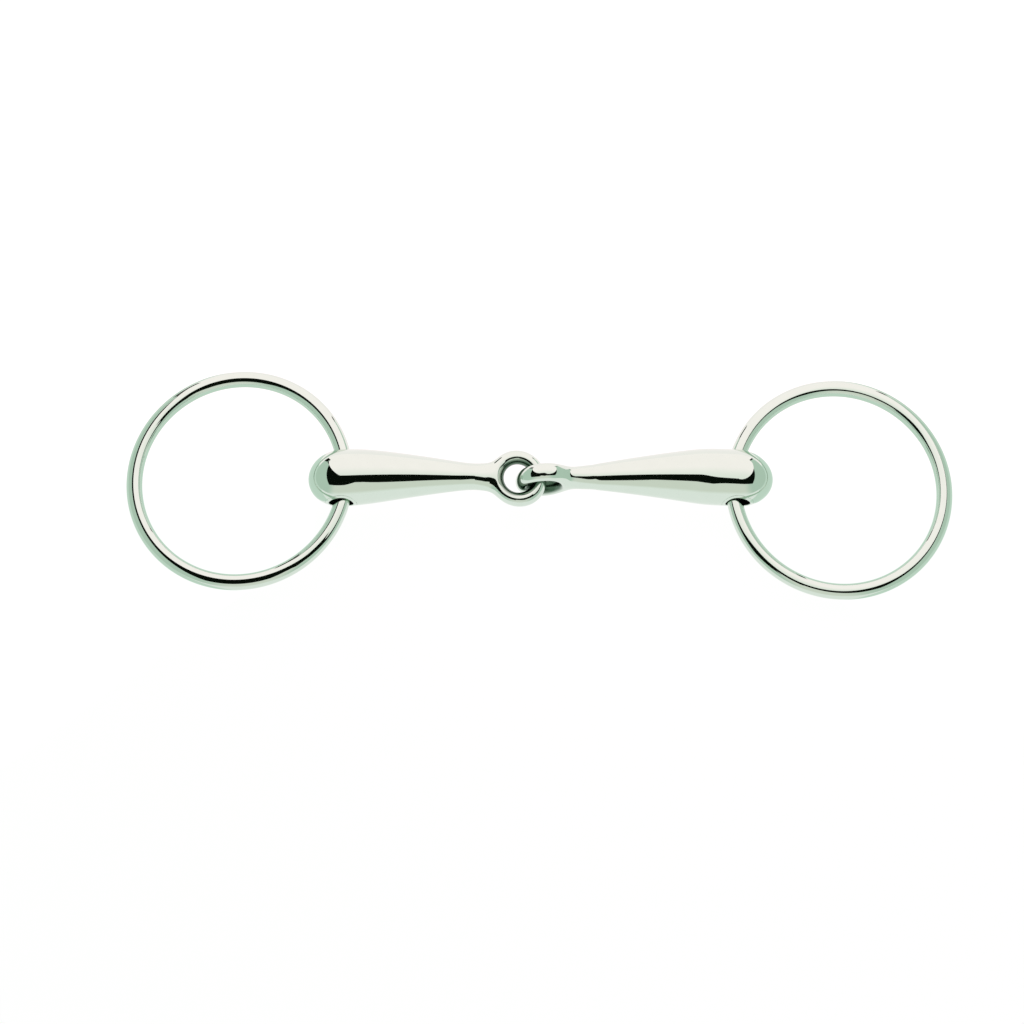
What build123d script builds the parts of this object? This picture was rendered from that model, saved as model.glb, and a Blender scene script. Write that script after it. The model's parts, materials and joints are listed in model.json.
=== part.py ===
from build123d import *
from typing import NamedTuple
import math
import os

os.makedirs("parts", exist_ok=True)

# A loose-ring snaffle bit: two hollow arms linked by an eye each, and a wire ring through each
# arm's thick end. All sizes are in millimetres, and the bit lies on a flat surface.
# The origin is on the axis that the centre joint folds about. +X runs along the mouthpiece to the
# right ring, +Y along the ring holes, and +Z up from the surface, which is half the thick end's
# diameter below the origin.

# Mouthpiece arms, pressed from sheet in two halves each
mouth_width = 124.0  # between the inner edges of the two ring holes
butt_diameter = 19.1  # each arm's thick end, at its ring hole
shell_wall = 1.5
crown_handle = 0.19  # how gently the taper leaves the thick end, as a share of the taper
neck_handle = 0.12  # how gently it runs into the neck

# Rings, bent from round wire
ring_inside = 66.0
ring_wire = 5.3

# Tubes that line the ring holes
tube_wall = 1.2
tube_mouth_radius = 0.6
ring_clearance = 0.25  # between the curved wire and the tube's wall
tube_fit = 0.05  # between the tube and the pressed shells

# Centre joint: two closed eyes, one lying nearly flat and one nearly on edge through it
eye_hole = 9.56
eye_bar_radial = 4.7  # the bar's thickness in the eye's plane
eye_bar_axial = 6.1  # the bar's width along the eye's axis
eye_play = 1.0  # gap between the two bars, along the arms
eye_web_width = 11.2  # the shank where it widens into the eye, across the eye's plane
eye_web_depth = 8.2  # and along the eye's axis
plug_length = 11.0  # the shank's spigot inside the shell
plug_fit = 0.05

# Worked out from the sizes above
ring_radius = (ring_inside + ring_wire) / 2
butt_radius = butt_diameter / 2
eye_radius = (eye_hole + eye_bar_radial) / 2


class Arm(NamedTuple):
    side: int  # -1 is towards -X
    dome_length: float  # from the ring hole's axis to the rounded tip
    crown_length: float  # full thickness on the inner side of the ring hole's axis
    neck_diameter: float
    shank_length: float  # from the eye's centre to the shells' narrow end
    eye_x: float  # from the fold axis to the eye's centre
    eye_turn: float  # about the arm's own axis, in degrees from lying flat
    ring_slip: float  # how far the ring has slid round in its hole, across the bit
    ring_push: float  # how far it is pushed inwards from the middle of its play


left = Arm(
    side=-1,
    dome_length=11.0,
    crown_length=3.3,
    neck_diameter=9.0,
    shank_length=14.4,
    eye_x=eye_radius,
    eye_turn=-8.6,
    ring_slip=0.0,
    ring_push=0.65,
)
right = Arm(
    side=1,
    dome_length=11.8,
    crown_length=7.0,
    neck_diameter=8.7,
    shank_length=17.7,
    eye_x=eye_radius - eye_bar_radial - eye_play,
    eye_turn=87.6,
    ring_slip=3.3,
    ring_push=0.15,
)


def wire_bow(slip):
    """How far the ring's curve leaves a straight line inside a hole through the thick end."""
    reach = butt_radius + abs(slip)
    return ring_radius - math.sqrt(ring_radius**2 - reach**2)


largest_bow = max(wire_bow(left.ring_slip), wire_bow(right.ring_slip))
tube_inside_radius = (ring_wire + largest_bow) / 2 + ring_clearance
tube_outside_radius = tube_inside_radius + tube_wall
hole_x = mouth_width / 2 + tube_inside_radius


def arm_section(arm, inset, overrun=0.0):
    """Half the arm's long section, out to a surface that lies inset below its skin: a cubic curve
    up the taper, a straight crown, and a quarter ellipse round the tip. Overrun carries the narrow
    end on past the shells."""
    neck = arm.neck_diameter / 2 - inset
    crown = butt_radius - inset
    narrow_x = arm.eye_x + arm.shank_length
    crown_x = hole_x - arm.crown_length
    taper = crown_x - narrow_x
    start_x = narrow_x - overrun
    dome = arm.dome_length - inset
    edges = [
        Bezier(
            (narrow_x, neck),
            (narrow_x + neck_handle * taper, neck),
            (crown_x - crown_handle * taper, crown),
            (crown_x, crown),
        ),
        Line((crown_x, crown), (hole_x, crown)),
        EllipticalCenterArc((hole_x, 0), dome, crown, 0, arc_size=90),
        Line((hole_x + dome, 0), (start_x, 0)),
        Line((start_x, 0), (start_x, neck)),
    ]
    if overrun:
        edges.append(Line((start_x, neck), (narrow_x, neck)))
    return make_face(Wire(edges))


def arm_shell(arm):
    """Both pressed halves of an arm as one hollow body along +X, with the ring hole through it."""
    skin = revolve(arm_section(arm, inset=0), Axis.X)
    cavity = revolve(arm_section(arm, inset=shell_wall, overrun=1), Axis.X)
    hole = Rot(90, 0, 0) * Cylinder(tube_outside_radius + tube_fit, 2 * butt_diameter)
    return skin - cavity - Pos(hole_x, 0, 0) * hole


def ring_tube():
    """A tube along Y at the origin, its ends cut to a ball as thick as the arm, so that no part
    of it stands out of the shells, and its mouths rounded for the wire."""
    tube = Cylinder(tube_outside_radius, butt_diameter)
    tube -= Cylinder(tube_inside_radius, butt_diameter)
    tube &= Sphere(butt_radius - tube_fit)
    bore = tube.faces().filter_by(GeomType.CYLINDER).sort_by(SortBy.AREA)[0]
    return Rot(90, 0, 0) * fillet(bore.edges().filter_by(GeomType.CIRCLE), tube_mouth_radius)


def centre_eye(arm):
    """A forged eye round Z at the origin, with its shank and the shank's plug out along +X."""
    bar_section = Pos(eye_radius, 0) * Ellipse(eye_bar_radial / 2, eye_bar_axial / 2)
    bar = revolve(Plane.XZ * bar_section, Axis.Z)
    inner_depth = 0.45 * eye_bar_axial  # the shank's end lies inside the bar
    neck = arm.neck_diameter / 2
    sections = [
        (eye_radius / 2, eye_radius, inner_depth),
        (eye_radius, eye_radius - eye_bar_radial / 8, inner_depth),
        (eye_radius + eye_bar_radial / 2, eye_web_width / 2, eye_web_depth / 2),
        (arm.shank_length, neck, neck),
    ]
    ellipses = [Pos(x, 0, 0) * (Plane.YZ * Ellipse(wide, deep)) for x, wide, deep in sections]
    shank = loft(ellipses, ruled=True) - Cylinder(eye_radius, 2 * butt_diameter)
    plug_section = Plane.YZ * Circle(neck - shell_wall - plug_fit)
    plug = Pos(arm.shank_length - 1, 0, 0) * extrude(plug_section, plug_length + 1)
    return bar + shank + plug


def ring(arm):
    """A wire ring through its hole, drooping until its far side touches the surface."""
    centre_out = ring_radius - wire_bow(arm.ring_slip) / 2 - arm.ring_push
    droop = math.asin((butt_radius - ring_wire / 2) / (centre_out + ring_radius))
    hinge = Pos(arm.side * hole_x, 0, 0) * Rot(0, arm.side * math.degrees(droop), 0)
    centre = Pos(arm.side * centre_out, -arm.ring_slip, 0)
    return hinge * centre * Torus(ring_radius, ring_wire / 2)


for name, arm in {"left": left, "right": right}.items():
    outward = Rot(0, 0, 180 if arm.side < 0 else 0)
    shell = outward * arm_shell(arm)
    eye = outward * Pos(arm.eye_x, 0, 0) * Rot(arm.eye_turn, 0, 0) * centre_eye(arm)
    pieces = {
        "front_shell": split(shell, Plane.XZ, keep=Keep.BOTTOM),
        "rear_shell": split(shell, Plane.XZ, keep=Keep.TOP),
        "ring_tube": Pos(arm.side * hole_x, 0, 0) * ring_tube(),
        "centre_eye": eye,
        "ring": ring(arm),
    }
    for piece, shape in pieces.items():
        shape.label = f"{name}_{piece}"
        export_step(shape, f"parts/{name}_{piece}.step")
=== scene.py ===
import json
import math

import bpy
import numpy as np
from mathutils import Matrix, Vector


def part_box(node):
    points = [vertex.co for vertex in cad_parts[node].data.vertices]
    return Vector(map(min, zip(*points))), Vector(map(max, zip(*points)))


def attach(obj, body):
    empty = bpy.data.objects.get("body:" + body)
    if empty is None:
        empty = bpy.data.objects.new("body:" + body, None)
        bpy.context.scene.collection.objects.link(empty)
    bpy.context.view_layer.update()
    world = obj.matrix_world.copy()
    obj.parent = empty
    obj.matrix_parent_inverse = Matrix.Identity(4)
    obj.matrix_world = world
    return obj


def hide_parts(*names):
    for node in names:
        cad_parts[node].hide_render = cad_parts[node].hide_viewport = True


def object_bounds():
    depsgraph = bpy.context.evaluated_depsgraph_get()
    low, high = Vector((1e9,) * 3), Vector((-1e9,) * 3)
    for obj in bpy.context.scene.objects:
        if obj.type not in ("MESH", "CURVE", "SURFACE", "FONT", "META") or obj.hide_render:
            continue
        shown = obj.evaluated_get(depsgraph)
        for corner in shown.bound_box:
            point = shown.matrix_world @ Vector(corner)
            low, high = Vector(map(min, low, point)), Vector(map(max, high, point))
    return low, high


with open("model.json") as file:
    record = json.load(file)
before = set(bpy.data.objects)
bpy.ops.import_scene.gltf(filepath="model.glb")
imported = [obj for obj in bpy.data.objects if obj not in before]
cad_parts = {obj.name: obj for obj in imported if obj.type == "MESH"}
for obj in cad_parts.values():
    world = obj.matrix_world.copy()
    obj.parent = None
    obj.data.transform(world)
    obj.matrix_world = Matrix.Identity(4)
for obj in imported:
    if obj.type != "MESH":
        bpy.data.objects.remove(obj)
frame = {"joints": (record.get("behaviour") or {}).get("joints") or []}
cad_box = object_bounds()

# ---- Camera ----
# A long lens, well back, looks almost straight down on the bit from its front edge, so that both
# rings keep their round shape and only a little of each thick end's front face shows.
view_elevation = math.radians(72.3)
view_distance = 1.55
view_aim = Vector((-0.00915, -0.01225, 0.0))
lens_length = 163.6  # millimetres, on a 36 mm sensor

towards_camera = Vector((0, -math.cos(view_elevation), math.sin(view_elevation)))
camera_data = bpy.data.cameras.new("camera")
camera_data.lens = lens_length
camera_data.sensor_width = 36.0
camera_data.clip_start = 0.05
camera = bpy.data.objects.new("camera", camera_data)
camera.location = view_aim + view_distance * towards_camera
camera.rotation_euler = (math.pi / 2 - view_elevation, 0, 0)
bpy.context.scene.collection.objects.link(camera)
bpy.context.scene.camera = camera
bpy.context.scene.view_settings.view_transform = "Standard"

# ---- Table ----
# A white acrylic light table, lit from below and a little more strongly at its back: it stays even
# and white, and takes only a trace of shadow where the rings and the thick ends touch it.
table_top = cad_box[0][2]
table_half = 4.0
table_front_glow = (0.965, 0.97, 0.965)
table_back_glow = (1.17, 1.05, 1.09)
table_paint = (0.06, 0.06, 0.06)
table_change = (-0.015, 0.03)  # along y, where the front glow ends and the back glow is reached


def clear_material(name):
    """A new material with only its output, and the tree that its nodes go in."""
    material = bpy.data.materials.new(name)
    material.use_nodes = True
    material.node_tree.nodes.clear()
    return material, material.node_tree, material.node_tree.nodes.new("ShaderNodeOutputMaterial")


def glow_from_front_to_back(tree, front, back, y_from, y_to):
    """Light that changes evenly from one colour to another between two distances along y."""
    place = tree.nodes.new("ShaderNodeTexCoord")
    parts = tree.nodes.new("ShaderNodeSeparateXYZ")
    share = tree.nodes.new("ShaderNodeMapRange")
    share.interpolation_type = "SMOOTHSTEP"
    share.inputs["From Min"].default_value = y_from
    share.inputs["From Max"].default_value = y_to
    mix = tree.nodes.new("ShaderNodeMix")
    mix.data_type = "RGBA"
    mix.inputs[6].default_value = (*front, 1)
    mix.inputs[7].default_value = (*back, 1)
    glow = tree.nodes.new("ShaderNodeEmission")
    tree.links.new(place.outputs["Object"], parts.inputs[0])
    tree.links.new(parts.outputs["Y"], share.inputs["Value"])
    tree.links.new(share.outputs["Result"], mix.inputs["Factor"])
    tree.links.new(mix.outputs[2], glow.inputs["Color"])
    return glow


def stage_card(name, corners, material, seen=False):
    """A flat card of the studio, which isn't part of the object. An unseen one only lights the
    bit and shows in its polish: the camera looks through it and it casts no shadow."""
    mesh = bpy.data.meshes.new(name)
    mesh.from_pydata(corners, [], [range(len(corners))])
    mesh.materials.append(material)
    card = bpy.data.objects.new(name, mesh)
    card.visible_camera = card.visible_shadow = seen
    bpy.context.scene.collection.objects.link(card)


def level(x_y_points, height):
    """Points on a level plane."""
    return [(x, y, height) for x, y in x_y_points]


table_material, tree, output = clear_material("light_table")
glow = glow_from_front_to_back(tree, table_front_glow, table_back_glow, *table_change)
paint = tree.nodes.new("ShaderNodeBsdfDiffuse")
paint.inputs["Color"].default_value = (*table_paint, 1)
both = tree.nodes.new("ShaderNodeAddShader")
tree.links.new(glow.outputs[0], both.inputs[0])
tree.links.new(paint.outputs[0], both.inputs[1])
tree.links.new(both.outputs[0], output.inputs["Surface"])
square = [(x * table_half, y * table_half) for x, y in ((-1, -1), (1, -1), (1, 1), (-1, 1))]
stage_card("light_table", level(square, table_top), table_material, seen=True)

# ---- Studio light ----
# A lit white cloth hangs over the bit and drops to the table behind it. Black cloth lies on it and
# reaches past its front edge, round the gap that the camera looks through. Pale walls stand beyond,
# and grey-green paper lies on the table outside each thick end.
cloth_height = 0.23
cloth_half = 0.42
cloth_back = 0.70
cloth_front_glow = (1.05, 1.03, 1.0)
cloth_glow = (1.32, 1.155, 1.195)
cloth_change = (-0.09, 0.12)
west_bend = -0.06
east_bend = 0.095
west_edge_y = -0.04
sag_deep = 0.06
sag_from = 0.015
sag_long = 0.075
black_edge = [(-0.29, -0.255), (-0.055, -0.26), (-0.035, -0.185), (-0.01, -0.19)]
black_edge += [(0.045, -0.24), (0.062, -0.21), (0.31, -0.22)]
black_back = 0.26
black_fold = [(-0.29, 0.26), (-0.38, 0.62), (-0.52, 0.62)]
black_glow = (0.003, 0.005, 0.003)
black_lift = 0.001  # the black cloth lies this far above the white
west_strip = 0.16
east_strip = 0.05
wall_glow = (0.836, 0.844, 0.781)
side_wall_glow = (0.58, 0.71, 0.62)
low_wall_glow = (0.97, 0.985, 0.96)
paper_glow = (0.72, 0.85, 0.77)
paper_lift = 0.0004
paper_near_half = 0.02
paper_far_half = 3.0


def plain_glow(name, colour):
    """A card's even light."""
    material, tree, output = clear_material(name)
    glow = tree.nodes.new("ShaderNodeEmission")
    glow.inputs["Color"].default_value = (*colour, 1)
    tree.links.new(glow.outputs[0], output.inputs["Surface"])
    return material


cloth_material, tree, output = clear_material("white_cloth")
glow = glow_from_front_to_back(tree, cloth_front_glow, cloth_glow, *cloth_change)
tree.links.new(glow.outputs[0], output.inputs["Surface"])
# the front edge sags forward in a soft step towards the east, and curves back past both bends
x = np.linspace(-cloth_half, cloth_half, 85)
sag = np.clip((x - sag_from) / sag_long, 0, 1)
edge_y = west_edge_y - sag_deep * sag**2 * (3 - 2 * sag)
edge_y += 2.76 * np.maximum(west_bend - x, 0) ** 1.5
edge_y += 5.8 * np.maximum(x - east_bend, 0) ** 2
front_edge = np.stack([x, edge_y], 1).tolist()
white = front_edge + [(cloth_half, cloth_back), (-cloth_half, cloth_back)]
stage_card("white_cloth", level(white, cloth_height), cloth_material)
black_material = plain_glow("black_cloth", black_glow)
for name, west, east, material in (
    ("white_back", -cloth_half, cloth_half, plain_glow("white_back", cloth_glow)),
    ("black_west_strip", -cloth_half - west_strip, -cloth_half, black_material),
    ("black_east_strip", cloth_half, cloth_half + east_strip, black_material),
):
    drop = [(west, table_top), (east, table_top), (east, cloth_height), (west, cloth_height)]
    stage_card(name, [(x, cloth_back, z) for x, z in drop], material)
black = black_edge + [(black_edge[-1][0], black_back), (black_edge[0][0], black_back)]
stage_card("black_cloth", level(black, cloth_height + black_lift), black_material)
stage_card("black_fold", level(black_fold, cloth_height + black_lift), black_material)

# the papers show in the sides of the arms' rounded tips
for name, near, far in (("west_paper", -0.0755, -table_half), ("east_paper", 0.0735, table_half)):
    paper = [(near, -paper_near_half), (far, -paper_far_half), (far, paper_far_half), (near, paper_near_half)]
    stage_card(name, level(paper, table_top + paper_lift), plain_glow(name, paper_glow))

world = bpy.data.worlds.new("studio_walls")
world.use_nodes = True
tree = world.node_tree
place = tree.nodes.new("ShaderNodeTexCoord")
parts = tree.nodes.new("ShaderNodeSeparateXYZ")
tree.links.new(place.outputs["Generated"], parts.inputs[0])
sideways = tree.nodes.new("ShaderNodeMath")
sideways.operation = "ABSOLUTE"
tree.links.new(parts.outputs["X"], sideways.inputs[0])
colour = None
for share_of, low, high, below, above in (
    (parts.outputs["Z"], 0.0, 0.25, low_wall_glow, wall_glow),
    (sideways.outputs[0], 0.2, 0.6, None, side_wall_glow),
):
    share = tree.nodes.new("ShaderNodeMapRange")
    share.interpolation_type = "SMOOTHSTEP"
    share.inputs["From Min"].default_value = low
    share.inputs["From Max"].default_value = high
    mix = tree.nodes.new("ShaderNodeMix")
    mix.data_type = "RGBA"
    mix.inputs[7].default_value = (*above, 1)
    tree.links.new(share_of, share.inputs["Value"])
    tree.links.new(share.outputs["Result"], mix.inputs["Factor"])
    if below:
        mix.inputs[6].default_value = (*below, 1)
    else:
        tree.links.new(colour, mix.inputs[6])
    colour = mix.outputs[2]
tree.links.new(colour, tree.nodes["Background"].inputs["Color"])
bpy.context.scene.world = world

# ---- Arm shells ----
# Each arm is hollow: a front and a rear half pressed from stainless steel sheet, welded along the
# middle and ground and polished until the seam is gone. The ring hole goes through its thick end.
MM = 0.001
eye_outside = 18.96
bow_height = 0.4
bow_middle = 27
bow_curve = 0.0009
across_half = 97  # points across a half, from seam to seam


class Arm:
    """What the frame says about one arm, in millimetres. Distances t along the arm run from the
    ring hole's axis towards the centre joint, and the rounded tip lies at negative t."""

    def __init__(self, name, side, shoulders, neck, eye_turn):
        self.name = name
        self.side = side
        self.shoulders = shoulders
        self.neck = neck
        self.eye_turn = eye_turn
        low, high = (np.array(c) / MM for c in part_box(f"{name}_ring_tube"))
        self.hole_x = (low[0] + high[0]) / 2
        self.tube_radius = (high[0] - low[0]) / 2
        low, high = (np.array(c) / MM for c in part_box(f"{name}_front_shell"))
        self.thick = high[2]
        ends = sorted((side * low[0], side * high[0]))
        self.dome = ends[1] - side * self.hole_x
        self.length = side * self.hole_x - ends[0]
        low, high = (np.array(c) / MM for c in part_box(f"{name}_centre_eye"))
        self.eye_x = min(side * low[0], side * high[0]) + eye_outside / 2

    def width(self, t):
        """Half the arm's thickness at t: a straight cone between two soft shoulders. A shoulder is
        k log(1 + exp((t - t0) / k)), less its slope and height at the hole, so that the cone
        leaves the thick end with no corner."""
        (start, start_soft), (end, end_soft) = self.shoulders

        def shoulder(t, at, soft):
            return soft * (np.logaddexp(0, (t - at) / soft) - np.logaddexp(0, -at / soft))

        early = 1 / (1 + math.exp(start / start_soft))

        def fall(t):
            cone = (shoulder(t, start, start_soft) - early * t) / (1 - early)
            return cone - shoulder(t, end, end_soft)

        t = np.maximum(t, 0)
        return self.thick - (self.thick - self.neck) * fall(t) / fall(2 * end)

    def sway(self, t):
        """How far the arm bows to the rear at t: height - curve (t - middle) squared."""
        return bow_height - bow_curve * (t - bow_middle) ** 2

    def skin(self, t, y, z, inset=0.0):
        """0 on the arm's skin and more outside it: an ellipse across, and past the hole's axis an
        ellipse along the arm too, so that the tip is a dome."""
        half = self.width(t) - inset
        tip = np.minimum(t, 0) / (self.dome - inset)
        return ((y - self.sway(t)) / half) ** 2 + (z / half) ** 2 + tip**2 - 1

    def depth(self, t, z, inset=0.0):
        """How far the skin stands out from the arm's middle plane, seen along the ring hole."""
        half = self.width(t) - inset
        tip = np.minimum(t, 0) / (self.dome - inset)
        return half * np.sqrt(np.maximum(1 - (z / half) ** 2 - tip**2, 0))

    def place(self, points, normals):
        """Points (t, y, z) along the arm, in millimetres, as points of the frame in metres, with
        their normals."""
        along = np.array([-self.side, 1, 1])
        return (points * along + [self.hole_x, 0, 0]) * MM, normals * along


def slope(field, points, step=0.02):
    """The unit direction in which a field of (x, y, z) rises fastest, by central differences."""
    rises = []
    for axis in np.eye(3) * step:
        ahead = field(*np.moveaxis(points + axis, -1, 0))
        behind = field(*np.moveaxis(points - axis, -1, 0))
        rises.append(ahead - behind)
    rise = np.stack(rises, -1)
    return rise / np.maximum(np.linalg.norm(rise, axis=-1, keepdims=True), 1e-12)


def join_patches(name, patches, place=None):
    """One closed mesh from patches. A patch is a grid of points and a grid of unit normals, and a
    face is four neighbours of it. Points that fall together become one, faces that collapse are
    dropped or become triangles, and each face is turned to agree with its normals."""
    points, normals, quads, first = [], [], [], 0
    for grid, facing in patches:
        rows, columns = grid.shape[:2]
        index = first + np.arange(rows * columns).reshape(rows, columns)
        corners = [index[:-1, :-1], index[1:, :-1], index[1:, 1:], index[:-1, 1:]]
        quads.append(np.stack(corners, -1).reshape(-1, 4))
        points.append(grid.reshape(-1, 3))
        normals.append(facing.reshape(-1, 3))
        first += rows * columns
    points, normals, quads = np.concatenate(points), np.concatenate(normals), np.concatenate(quads)
    if place:
        points, normals = place(points, normals)
    corners = points[quads]
    across = np.cross(corners[:, 2] - corners[:, 0], corners[:, 3] - corners[:, 1])
    wrong = (across * normals[quads].mean(1)).sum(1) < 0
    quads[wrong] = quads[wrong][:, ::-1]
    _, keep, merged = np.unique(np.round(points, 8) + 0.0, axis=0, return_index=True, return_inverse=True)
    vertex = merged.reshape(-1)[quads]
    distinct = vertex != np.roll(vertex, 1, axis=1)
    whole = distinct.sum(1) >= 3
    distinct, vertex, quads = distinct[whole], vertex[whole], quads[whole]
    mesh = bpy.data.meshes.new(name)
    mesh.vertices.add(len(keep))
    mesh.vertices.foreach_set("co", points[keep].reshape(-1))
    sizes = distinct.sum(1)
    mesh.loops.add(int(sizes.sum()))
    mesh.loops.foreach_set("vertex_index", vertex[distinct])
    mesh.polygons.add(len(sizes))
    mesh.polygons.foreach_set("loop_start", np.concatenate([[0], np.cumsum(sizes)[:-1]]))
    mesh.polygons.foreach_set("use_smooth", np.ones(len(sizes), bool))
    mesh.update(calc_edges=True)
    mesh.normals_split_custom_set(normals[quads[distinct]])
    return mesh


def add_piece(name, mesh, body, node, material):
    """A finished mesh as a piece that stands for a CAD node and moves with a CAD body."""
    mesh.materials.append(material)
    piece = bpy.data.objects.new(name, mesh)
    bpy.context.scene.collection.objects.link(piece)
    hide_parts(node)
    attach(piece, body)


def half_skin(arm, half, inset, hole_radius, collar=8.6):
    """The skin of an arm's front (half -1) or rear (+1) half, in two grids of points: one fans out
    from the ring hole to the collar, the seam and the dome's edge, and one runs from the collar to
    the narrow end. Seen along the hole, a point is (t, width sin angle). In the fan it is
    hole + (edge - hole) e(s), with e(s) = s at the collar and sin(s 90 degrees) at the seam, where
    the skin turns away."""
    angle = np.radians(np.linspace(-90, 90, across_half))
    half_at_collar = arm.width(np.array(collar)) - inset
    seam_t = np.linspace(collar, 0, 14)[1:-1]
    seam_z = arm.width(seam_t) - inset
    dome_t = -(arm.dome - inset) * np.cos(angle[::-1])
    dome_z = (arm.thick - inset) * np.sin(angle[::-1])
    edge_t = np.concatenate([np.full(across_half, collar), seam_t, dome_t, seam_t[::-1], [collar]])
    edge_z = [half_at_collar * np.sin(angle), seam_z, dome_z, -seam_z[::-1], [-half_at_collar]]
    edge_z = np.concatenate(edge_z)
    edge_t[np.abs(edge_t) < 1e-9] = 0
    way = np.arctan2(edge_z, edge_t)
    seamward = np.ones_like(edge_t)
    seamward[:across_half] = np.abs(np.sin(angle)) ** 6
    s = np.linspace(0, 1, 30)[:, None]
    reach = (1 - seamward) * s + seamward * np.sin(s * np.pi / 2)
    t = hole_radius * np.cos(way) * (1 - reach) + edge_t * reach
    z = hole_radius * np.sin(way) * (1 - reach) + edge_z * reach
    y = half * arm.depth(t, z, inset)
    y[-1, across_half - 1 :] = 0
    y[-1, 0] = 0
    fan = np.stack([t, y + arm.sway(t), z], -1)
    fan[:, -1] = fan[:, 0]
    t = np.linspace(collar, arm.length, 85)[:, None] + 0 * angle
    wide = arm.width(t) - inset
    y = half * wide * np.cos(angle)
    y[:, [0, -1]] = 0
    taper = np.stack([t, y + arm.sway(t), wide * np.sin(angle)], -1)
    return fan, taper


def bridge(edge_a, edge_b, facing):
    """A flat strip between two edges, facing one way."""
    grid = np.stack([edge_a, edge_b])
    return grid, np.broadcast_to(np.asarray(facing, float), grid.shape)


def shell_half(arm, half, wall=1.5, lip=0.1, fit=0.02):
    """One pressed half, closed all round: skin, inner skin, the lip and wall of the ring hole, the
    flat face that meets the other half, and the narrow end."""
    hole = arm.tube_radius + fit
    fan, taper = half_skin(arm, half, 0.0, hole + lip)
    inner_fan, inner_taper = half_skin(arm, half, wall, hole)
    outward = slope(arm.skin, fan)
    patches = [(fan, outward), (taper, slope(arm.skin, taper))]
    for grid in (inner_fan, inner_taper):
        patches.append((grid, -slope(lambda t, y, z: arm.skin(t, y, z, wall), grid)))
    rim, inner_rim = fan[0], inner_fan[0]
    radial = np.stack([rim[:, 0], 0 * rim[:, 0], rim[:, 2]], -1)
    radial /= np.linalg.norm(radial, axis=1, keepdims=True)
    corner_t, corner_z = hole * radial[:, 0], hole * radial[:, 2]
    corner_y = half * arm.depth(corner_t, corner_z) + arm.sway(corner_t)
    corner = np.stack([corner_t, corner_y, corner_z], -1)
    below = corner - [0, half * lip, 0]
    turn = np.linspace(0, 1, 7)[:, None, None]
    arc = (1 - turn) ** 2 * rim + 2 * turn * (1 - turn) * corner + turn**2 * below
    facing = (1 - turn) * outward[0] - turn * radial
    facing /= np.linalg.norm(facing, axis=-1, keepdims=True)
    patches.append((arc, facing))
    wall_grid = np.stack([below, inner_rim])
    patches.append((wall_grid, np.broadcast_to(-radial, wall_grid.shape)))
    seam = slice(across_half - 1, None)
    patches.append(bridge(fan[-1, seam], inner_fan[-1, seam], (0, -half, 0)))
    for edge in (0, -1):
        patches.append(bridge(taper[:, edge], inner_taper[:, edge], (0, -half, 0)))
    patches.append(bridge(taper[-1], inner_taper[-1], (1, 0, 0)))
    return join_patches(f"{arm.name}_shell", patches, arm.place)


left = Arm("left", -1, ((6.1, 3.1), (42.4, 1.35)), 4.45, eye_turn=-8.6)
right = Arm("right", 1, ((11.2, 1.9), (48.0, 0.6)), 4.27, eye_turn=87.6)


def new_group(name, inputs, outputs):
    """An empty shader node group with named sockets, its tree and its two end nodes."""
    group = bpy.data.node_groups.new(name, "ShaderNodeTree")
    for label, kind, value in inputs:
        socket = group.interface.new_socket(label, in_out="INPUT", socket_type=f"NodeSocket{kind}")
        socket.default_value = value
    for label, kind in outputs:
        group.interface.new_socket(label, in_out="OUTPUT", socket_type=f"NodeSocket{kind}")
    return group, group.nodes.new("NodeGroupInput"), group.nodes.new("NodeGroupOutput")


def maths(tree, operation, a, b, c=None):
    """A maths node on numbers and sockets, and its result."""
    node = tree.nodes.new("ShaderNodeMath")
    node.operation = operation
    for socket, value in zip(node.inputs, (a, b, c)):
        if isinstance(value, bpy.types.NodeSocket):
            tree.links.new(value, socket)
        elif value is not None:
            socket.default_value = value
    return node.outputs[0]


def noise(tree, place, scale, detail, stretch=None):
    """Noise from -1 to 1 about 0, finer along the axes that stretch multiplies most."""
    if stretch is not None:
        spread = tree.nodes.new("ShaderNodeVectorMath")
        spread.operation = "MULTIPLY"
        tree.links.new(place, spread.inputs[0])
        tree.links.new(stretch, spread.inputs[1])
        place = spread.outputs[0]
    node = tree.nodes.new("ShaderNodeTexNoise")
    node.inputs["Scale"].default_value = scale
    node.inputs["Detail"].default_value = detail
    tree.links.new(place, node.inputs["Vector"])
    return maths(tree, "MULTIPLY_ADD", node.outputs[0], 2.0, -1.0)


# Buffed steel is never quite flat: it undulates by a few thousandths of a millimetre, carries hair
# scratches, drawn out along the grain, and is a little duller and paler where the mop passed less.
steel_finish, given, result = new_group(
    "steel_finish",
    (
        ("Colour", "Color", (0.66, 0.748, 0.667, 1)),
        ("Tone Change", "Float", 0.02),
        ("Roughness", "Float", 0.03),
        ("Roughness Change", "Float", 0.01),
        ("Grain", "Vector", (90, 900, 900)),
        ("Scratch Height", "Float", 0.0000002),
        ("Wave Height", "Float", 0.000002),
    ),
    (("Base Color", "Color"), ("Roughness", "Float"), ("Height", "Float")),
)
place = steel_finish.nodes.new("ShaderNodeTexCoord").outputs["Object"]
wave = noise(steel_finish, place, 95.0, 0.5)
patch = noise(steel_finish, place, 260.0, 3.0)
scratch = noise(steel_finish, place, 1.0, 4.0, given.outputs["Grain"])
height = maths(steel_finish, "MULTIPLY", wave, given.outputs["Wave Height"])
height = maths(steel_finish, "MULTIPLY_ADD", scratch, given.outputs["Scratch Height"], height)
steel_finish.links.new(height, result.inputs["Height"])
change = given.outputs["Roughness Change"]
worn = maths(steel_finish, "MULTIPLY_ADD", patch, change, given.outputs["Roughness"])
half_change = maths(steel_finish, "MULTIPLY", change, 0.5)
worn = maths(steel_finish, "MULTIPLY_ADD", scratch, half_change, worn)
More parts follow.
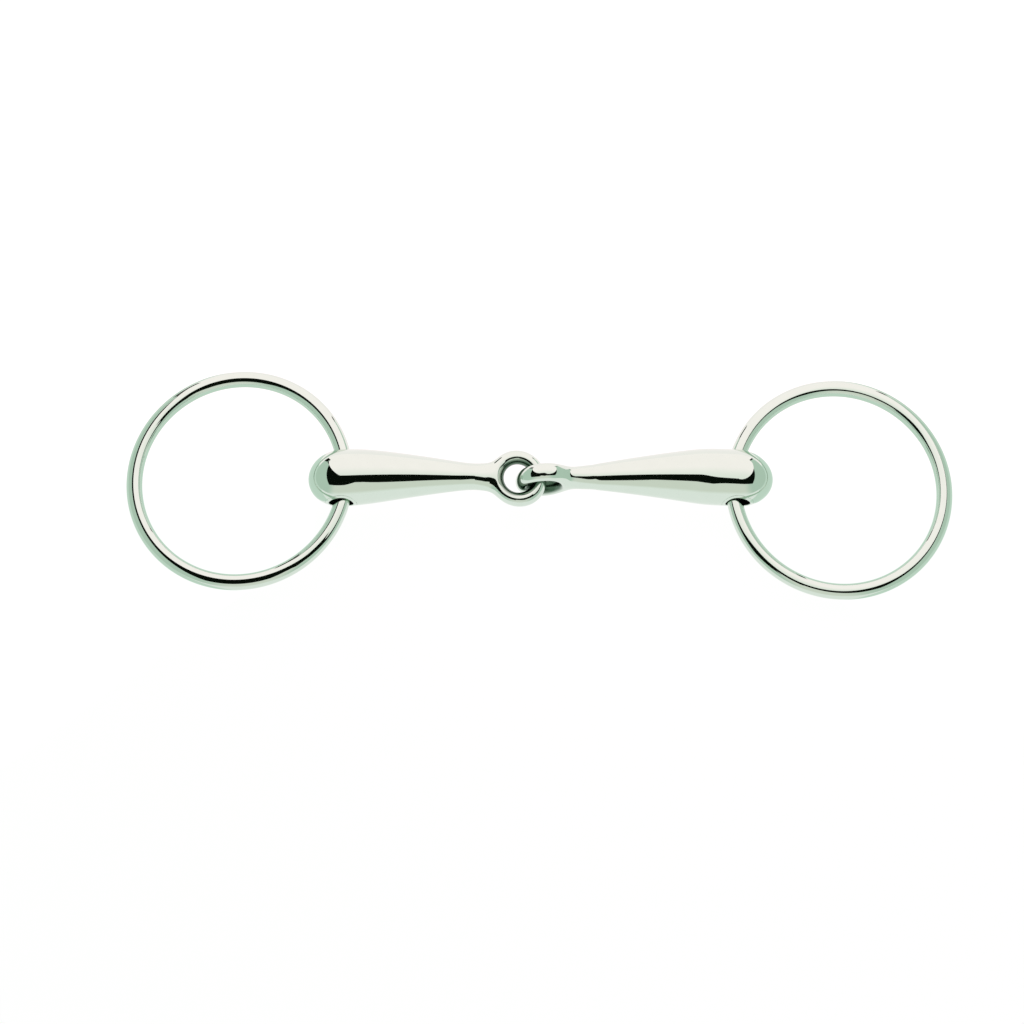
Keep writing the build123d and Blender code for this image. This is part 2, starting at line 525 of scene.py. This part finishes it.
steel_finish.links.new(maths(steel_finish, "MAXIMUM", worn, 0.01), result.inputs["Roughness"])
tone = maths(steel_finish, "MULTIPLY_ADD", patch, given.outputs["Tone Change"], 1.0)
shade = steel_finish.nodes.new("ShaderNodeVectorMath")
shade.operation = "SCALE"
steel_finish.links.new(given.outputs["Colour"], shade.inputs[0])
steel_finish.links.new(tone, shade.inputs["Scale"])
steel_finish.links.new(shade.outputs[0], result.inputs["Base Color"])


def polished_steel(name, **finish):
    """Steel with a finish, given by the steel_finish group's named inputs. Returns the material,
    the group's node and the shader, for one that needs more."""
    material = bpy.data.materials.new(name)
    material.use_nodes = True
    tree = material.node_tree
    shader = tree.nodes["Principled BSDF"]
    shader.inputs["Metallic"].default_value = 1
    group = tree.nodes.new("ShaderNodeGroup")
    group.node_tree = steel_finish
    for label, value in finish.items():
        group.inputs[label.replace("_", " ")].default_value = value
    bump = tree.nodes.new("ShaderNodeBump")
    bump.inputs["Distance"].default_value = 1.0
    tree.links.new(group.outputs["Height"], bump.inputs["Height"])
    tree.links.new(group.outputs["Base Color"], shader.inputs["Base Color"])
    tree.links.new(group.outputs["Roughness"], shader.inputs["Roughness"])
    tree.links.new(bump.outputs[0], shader.inputs["Normal"])
    return material, group, shader


shell_steel, _, _ = polished_steel("polished_shell", Roughness=0.028, Grain=(80, 1400, 1400))
for arm in (left, right):
    for half, place in ((-1, "front"), (1, "rear")):
        node = f"{arm.name}_{place}_shell"
        mesh = shell_half(arm, half)
        add_piece(f"{arm.name}_{place}_half", mesh, f"{arm.name}_cannon", node, shell_steel)

# ---- Centre eyes ----
# A closed eye is forged on the end of each solid shank, one lying flat and one on edge, linked
# through each other. The shank's spigot is pressed into the arm and welded.


def soft_union(a, b, blend):
    """The smaller of two distances, with a fillet where they are nearly equal: less
    blend / 6 * (1 - |a - b| / blend) cubed."""
    near = np.maximum(blend - np.abs(a - b), 0) / blend
    return np.minimum(a, b) - near**3 * blend / 6


def ellipse_distance(u, v, half_u, half_v):
    """About how far (u, v) lies outside an ellipse: (q - 1) / |slope of q|."""
    q = np.sqrt((u / half_u) ** 2 + (v / half_v) ** 2) + 1e-9
    return (q - 1) * q / (np.sqrt((u / half_u**2) ** 2 + (v / half_v**2) ** 2) + 1e-9)


class Eye:
    """An eye in its own place, in millimetres: centre at the origin, axis along z, shank along +x."""

    def __init__(self, arm, bar_radial=4.7, bar_axial=6.1, web=5.3, blend=3.2):
        self.arm = arm
        self.bar_radial = bar_radial
        self.bar_axial = bar_axial
        self.web = web
        self.blend = blend
        self.radius = (eye_outside - bar_radial) / 2
        self.shank = arm.side * arm.hole_x - arm.length - arm.eye_x

    def field(self, x, y, z):
        """Distance outside the eye: a ring of elliptical bar and a shank that is a flattening
        ellipse towards the ring, softly joined."""
        ring = ellipse_distance(np.hypot(x, y) - self.radius, z, self.bar_radial / 2, self.bar_axial / 2)
        t = self.arm.side * self.arm.hole_x - self.arm.eye_x - x
        neck = self.arm.width(t)
        inward = np.clip((self.shank + 1 - x) / (self.shank + 1 - self.radius), 0, 1)
        thin = neck + (self.bar_axial / 2 + 0.2 - neck) * inward**1.3
        wide = neck + (self.web - neck) * inward**2
        shank = ellipse_distance(y, z, wide, thin)
        shank = -soft_union(-shank, x - self.radius, 1.5)
        return soft_union(ring, shank, self.blend)

    def settle(self, points, steps=9):
        """Points moved along the field's slope until they lie on the surface."""
        for _ in range(steps):
            points = points - self.field(*np.moveaxis(points, -1, 0))[..., None] * slope(self.field, points)
        return points

    def turned(self, directions):
        """The eye's own directions as the frame's: turned about the arm, then to its side."""
        x, y, z = np.moveaxis(directions, -1, 0)
        turn = math.radians(self.arm.eye_turn)
        y, z = y * math.cos(turn) - z * math.sin(turn), y * math.sin(turn) + z * math.cos(turn)
        return np.stack([self.arm.side * x, self.arm.side * y, z], -1)

    def place(self, points, normals):
        """The eye's own millimetres as points of the frame in metres, bowed with its arm, and the
        normals leaned over by as much as the bow slopes."""
        points, normals = self.turned(points + [self.arm.eye_x, 0, 0]), self.turned(normals)
        t = self.arm.side * (self.arm.hole_x - points[:, 0])
        points[:, 1] += self.arm.sway(t)
        bow_slope = (self.arm.sway(t + 0.1) - self.arm.sway(t - 0.1)) / 0.2
        normals[:, 0] += self.arm.side * bow_slope * normals[:, 1]
        return points * MM, normals / np.linalg.norm(normals, axis=1, keepdims=True)


def eye_mesh(eye, around=288, across=96, mouth=26, lip=18, plug_gap=1.55, plug_length=11):
    """The ring as a grid of around by across points, with a window of 2 mouth by 2 lip faces left
    open on its outer side, the shank as a tube from the window's edge to the neck, and past a
    step in by plug_gap the spigot that the arm holds."""
    turn = np.linspace(0, 2 * np.pi, around + 1)[:, None]
    roll = np.linspace(0, 2 * np.pi, across + 1)[None, :] - np.pi
    swell = eye.bar_radial / 2 * np.cos(roll + np.pi)
    out = eye.radius - swell
    # roll runs from the inner side round over the top, the outer side and the bottom
    height = eye.bar_axial / 2 * np.sin(roll) + 0 * turn
    ring = np.stack([out * np.cos(turn), out * np.sin(turn), height], -1)
    ring = eye.settle(ring)
    ring[-1], ring[:, -1] = ring[0], ring[:, 0]
    middle = across // 2
    ring = np.roll(ring[:-1], mouth, axis=0)
    ring = np.concatenate([ring, ring[:1]])
    window = ring[: 2 * mouth + 1, middle - lip : middle + lip + 1]
    patches = [
        ring[2 * mouth :],
        ring[: 2 * mouth + 1, : middle - lip + 1],
        ring[: 2 * mouth + 1, middle + lip :],
    ]
    loop = np.concatenate([window[:-1, 0], window[-1, :-1], window[:0:-1, -1], window[0, ::-1]])
    heading = np.arctan2(loop[:, 2] / np.abs(loop[:, 2]).max(), loop[:, 1] / np.abs(loop[:, 1]).max())
    radius = eye.arm.width(np.array(eye.arm.length))
    neck = np.full_like(heading, eye.shank)
    end = np.stack([neck, radius * np.cos(heading), radius * np.sin(heading)], -1)
    s = np.linspace(0, 1, 48)[:, None, None]
    tube = eye.settle(loop * (1 - s) + end * s)
    tube[0], tube[-1] = loop, end
    tube[:, -1] = tube[:, 0]
    patches.append(tube)
    patches = [(grid, slope(eye.field, grid)) for grid in patches]
    plug = radius - plug_gap
    round_end = end * [1, 0, 0]
    spokes = (end - round_end) / radius
    patches.append(bridge(end, round_end + plug * spokes, (1, 0, 0)))
    deep = round_end + [plug_length, 0, 0]
    side = np.stack([round_end + plug * spokes, deep + plug * spokes])
    patches.append((side, np.broadcast_to(spokes, side.shape)))
    patches.append(bridge(deep + plug * spokes, deep, (1, 0, 0)))
    return join_patches(f"{eye.arm.name}_eye", patches, eye.place)


# The buffing mop does not reach into an eye, so its inside keeps the dull forged skin, and its colour there
# is painted darker: partly the darker forged skin, partly painted shade where little light reaches inside the
# hole.
eye_inside, given, result = new_group(
    "eye_inside",
    (
        ("Centre", "Vector", (0, 0, 0)),
        ("Axis", "Vector", (0, 0, 1)),
        ("Polished From", "Float", 0.0068),
        ("Forged Below", "Float", 0.0055),
        ("Base Color", "Color", (1, 1, 1, 1)),
        ("Roughness", "Float", 0.05),
        # painted shade: this near-black inside colour stands for the dark forged skin together with the shade
        # inside the eye's hole
        ("Inside Colour", "Color", (0.085, 0.145, 0.1, 1)),
        ("Inside Roughness", "Float", 0.2),
    ),
    (("Base Color", "Color"), ("Roughness", "Float")),
)
apart = eye_inside.nodes.new("ShaderNodeVectorMath")
apart.operation = "SUBTRACT"
eye_inside.links.new(eye_inside.nodes.new("ShaderNodeTexCoord").outputs["Object"], apart.inputs[0])
eye_inside.links.new(given.outputs["Centre"], apart.inputs[1])
across = eye_inside.nodes.new("ShaderNodeVectorMath")
across.operation = "CROSS_PRODUCT"
eye_inside.links.new(apart.outputs[0], across.inputs[0])
eye_inside.links.new(given.outputs["Axis"], across.inputs[1])
from_axis = eye_inside.nodes.new("ShaderNodeVectorMath")
from_axis.operation = "LENGTH"
eye_inside.links.new(across.outputs[0], from_axis.inputs[0])
share = eye_inside.nodes.new("ShaderNodeMapRange")
share.interpolation_type = "SMOOTHSTEP"
eye_inside.links.new(from_axis.outputs["Value"], share.inputs["Value"])
eye_inside.links.new(given.outputs["Forged Below"], share.inputs["From Min"])
eye_inside.links.new(given.outputs["Polished From"], share.inputs["From Max"])
tint = eye_inside.nodes.new("ShaderNodeMix")
tint.data_type = "RGBA"
eye_inside.links.new(share.outputs["Result"], tint.inputs["Factor"])
eye_inside.links.new(given.outputs["Inside Colour"], tint.inputs[6])
eye_inside.links.new(given.outputs["Base Color"], tint.inputs[7])
eye_inside.links.new(tint.outputs[2], result.inputs["Base Color"])
dull = eye_inside.nodes.new("ShaderNodeMix")
eye_inside.links.new(share.outputs["Result"], dull.inputs["Factor"])
eye_inside.links.new(given.outputs["Inside Roughness"], dull.inputs[2])
eye_inside.links.new(given.outputs["Roughness"], dull.inputs[3])
eye_inside.links.new(dull.outputs[0], result.inputs["Roughness"])

for arm in (left, right):
    eye = Eye(arm)
    name = f"{arm.name}_polished_eye"
    eye_steel, finish, shader = polished_steel(name, Roughness=0.04, Grain=(500, 500, 500))
    tree = eye_steel.node_tree
    # painted shade: here the inside of the eye's hole is painted darker and made duller
    inside = tree.nodes.new("ShaderNodeGroup")
    inside.node_tree = eye_inside
    middle, _ = eye.place(np.zeros((1, 3)), np.array([[1.0, 0, 0]]))
    inside.inputs["Centre"].default_value = middle[0]
    inside.inputs["Axis"].default_value = eye.turned(np.array([0, 0, 1]))
    for label in ("Base Color", "Roughness"):
        tree.links.new(finish.outputs[label], inside.inputs[label])
        tree.links.new(inside.outputs[label], shader.inputs[label])
    node = f"{arm.name}_centre_eye"
    mesh = eye_mesh(eye)
    add_piece(f"{arm.name}_linked_eye", mesh, f"{arm.name}_cannon", node, eye_steel)

# ---- Ring tubes ----
# A short tube is welded into each ring hole, cut to the curve of the arm and ground flush, with
# its mouths rounded so that the wire slides without catching.
tube_steel, _, _ = polished_steel(
    "tube_lining", Roughness=0.07, Roughness_Change=0.03, Grain=(2500, 60, 2500), Scratch_Height=0.000001
)


def tube_mesh(arm, wall=1.2, mouth=0.4, edge=0.08):
    """A profile carried round the hole's axis: up the bore, over the rounded mouth, out along the
    arm's own curve to the edge, and down the outside, at both ends."""
    way = np.radians(np.linspace(0, 360, 193))
    outer, bore = arm.tube_radius, arm.tube_radius - wall

    def point(radius, half, drop=0.0):
        t, z = radius * np.cos(way), radius * np.sin(way)
        return np.stack([t, half * (arm.depth(t, z) - drop) + arm.sway(t), z], -1)

    radial = np.stack([np.cos(way), 0 * way, np.sin(way)], -1)
    patches, ends = [], []
    for half in (-1, 1):
        turn = np.linspace(0, 1, 9)[:, None, None]
        flat_in, corner, down = point(bore + mouth, half), point(bore, half), point(bore, half, mouth)
        inner_arc = (1 - turn) ** 2 * flat_in + 2 * turn * (1 - turn) * corner + turn**2 * down
        facing_in = (1 - turn) * slope(arm.skin, flat_in) - turn * radial
        flat_out, corner, down_out = point(outer - edge, half), point(outer, half), point(outer, half, edge)
        outer_arc = (1 - turn) ** 2 * flat_out + 2 * turn * (1 - turn) * corner + turn**2 * down_out
        facing_out = (1 - turn) * slope(arm.skin, flat_out) + turn * radial
        for grid, facing in ((inner_arc, facing_in), (outer_arc, facing_out)):
            patches.append((grid, facing / np.linalg.norm(facing, axis=-1, keepdims=True)))
        rim = np.stack([point(radius, half) for radius in np.linspace(bore + mouth, outer - edge, 3)])
        patches.append((rim, slope(arm.skin, rim)))
        ends.append((down, down_out))
    for (start, finish), facing in zip(zip(*ends), (-radial, radial)):
        grid = np.stack([start, finish])
        patches.append((grid, np.broadcast_to(facing, grid.shape)))
    for grid, _ in patches:
        grid[:, -1] = grid[:, 0]
    return join_patches(f"{arm.name}_tube", patches, arm.place)


for arm in (left, right):
    node = f"{arm.name}_ring_tube"
    mesh = tube_mesh(arm)
    add_piece(f"{arm.name}_hole_tube", mesh, f"{arm.name}_cannon", node, tube_steel)

# ---- Rings ----
# Each ring is one length of round stainless steel wire, bent, butt-welded and polished all over.
# It hangs loose in its hole, so it lies tilted, with its far side on the table.
ring_steel, _, _ = polished_steel("ring_wire", Roughness=0.03, Grain=(420, 420, 420))


def ring_mesh(name, centre, axis, radius, wire, around=720, across=64):
    """A round wire carried round a circle."""
    turn = np.linspace(0, 2 * np.pi, around + 1)
    roll = np.linspace(0, 2 * np.pi, across + 1)
    turn, roll = np.meshgrid(turn, roll, indexing="ij")
    axis = np.array(axis) / np.linalg.norm(axis)
    u = np.cross([0, 1, 0], axis)
    u /= np.linalg.norm(u)
    v = np.cross(axis, u)
    out = np.cos(turn)[..., None] * u + np.sin(turn)[..., None] * v
    facing = np.cos(roll)[..., None] * out + np.sin(roll)[..., None] * axis
    grid = np.array(centre) + radius * out + wire * facing
    for g in (grid, facing):
        g[-1], g[:, -1] = g[0], g[:, 0]
    return join_patches(name, [(grid, facing)])


joints = {joint["name"]: joint for joint in frame["joints"]}
for arm in (left, right):
    joint = joints[f"{arm.name}_ring_slide"]
    low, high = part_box(f"{arm.name}_ring")
    outside = (high[1] - low[1]) / 2
    tilt = abs(joint["axis"][0])
    # along z the ring's box is the wire's thickness and the tilted circle's rise
    wire = ((high[2] - low[2]) / 2 - outside * tilt) / (1 - tilt)
    mesh = ring_mesh(f"{arm.name}_wire", joint["pos_m"], joint["axis"], outside - wire, wire)
    body = node = f"{arm.name}_ring"
    add_piece(f"{arm.name}_loose_ring", mesh, body, node, ring_steel)
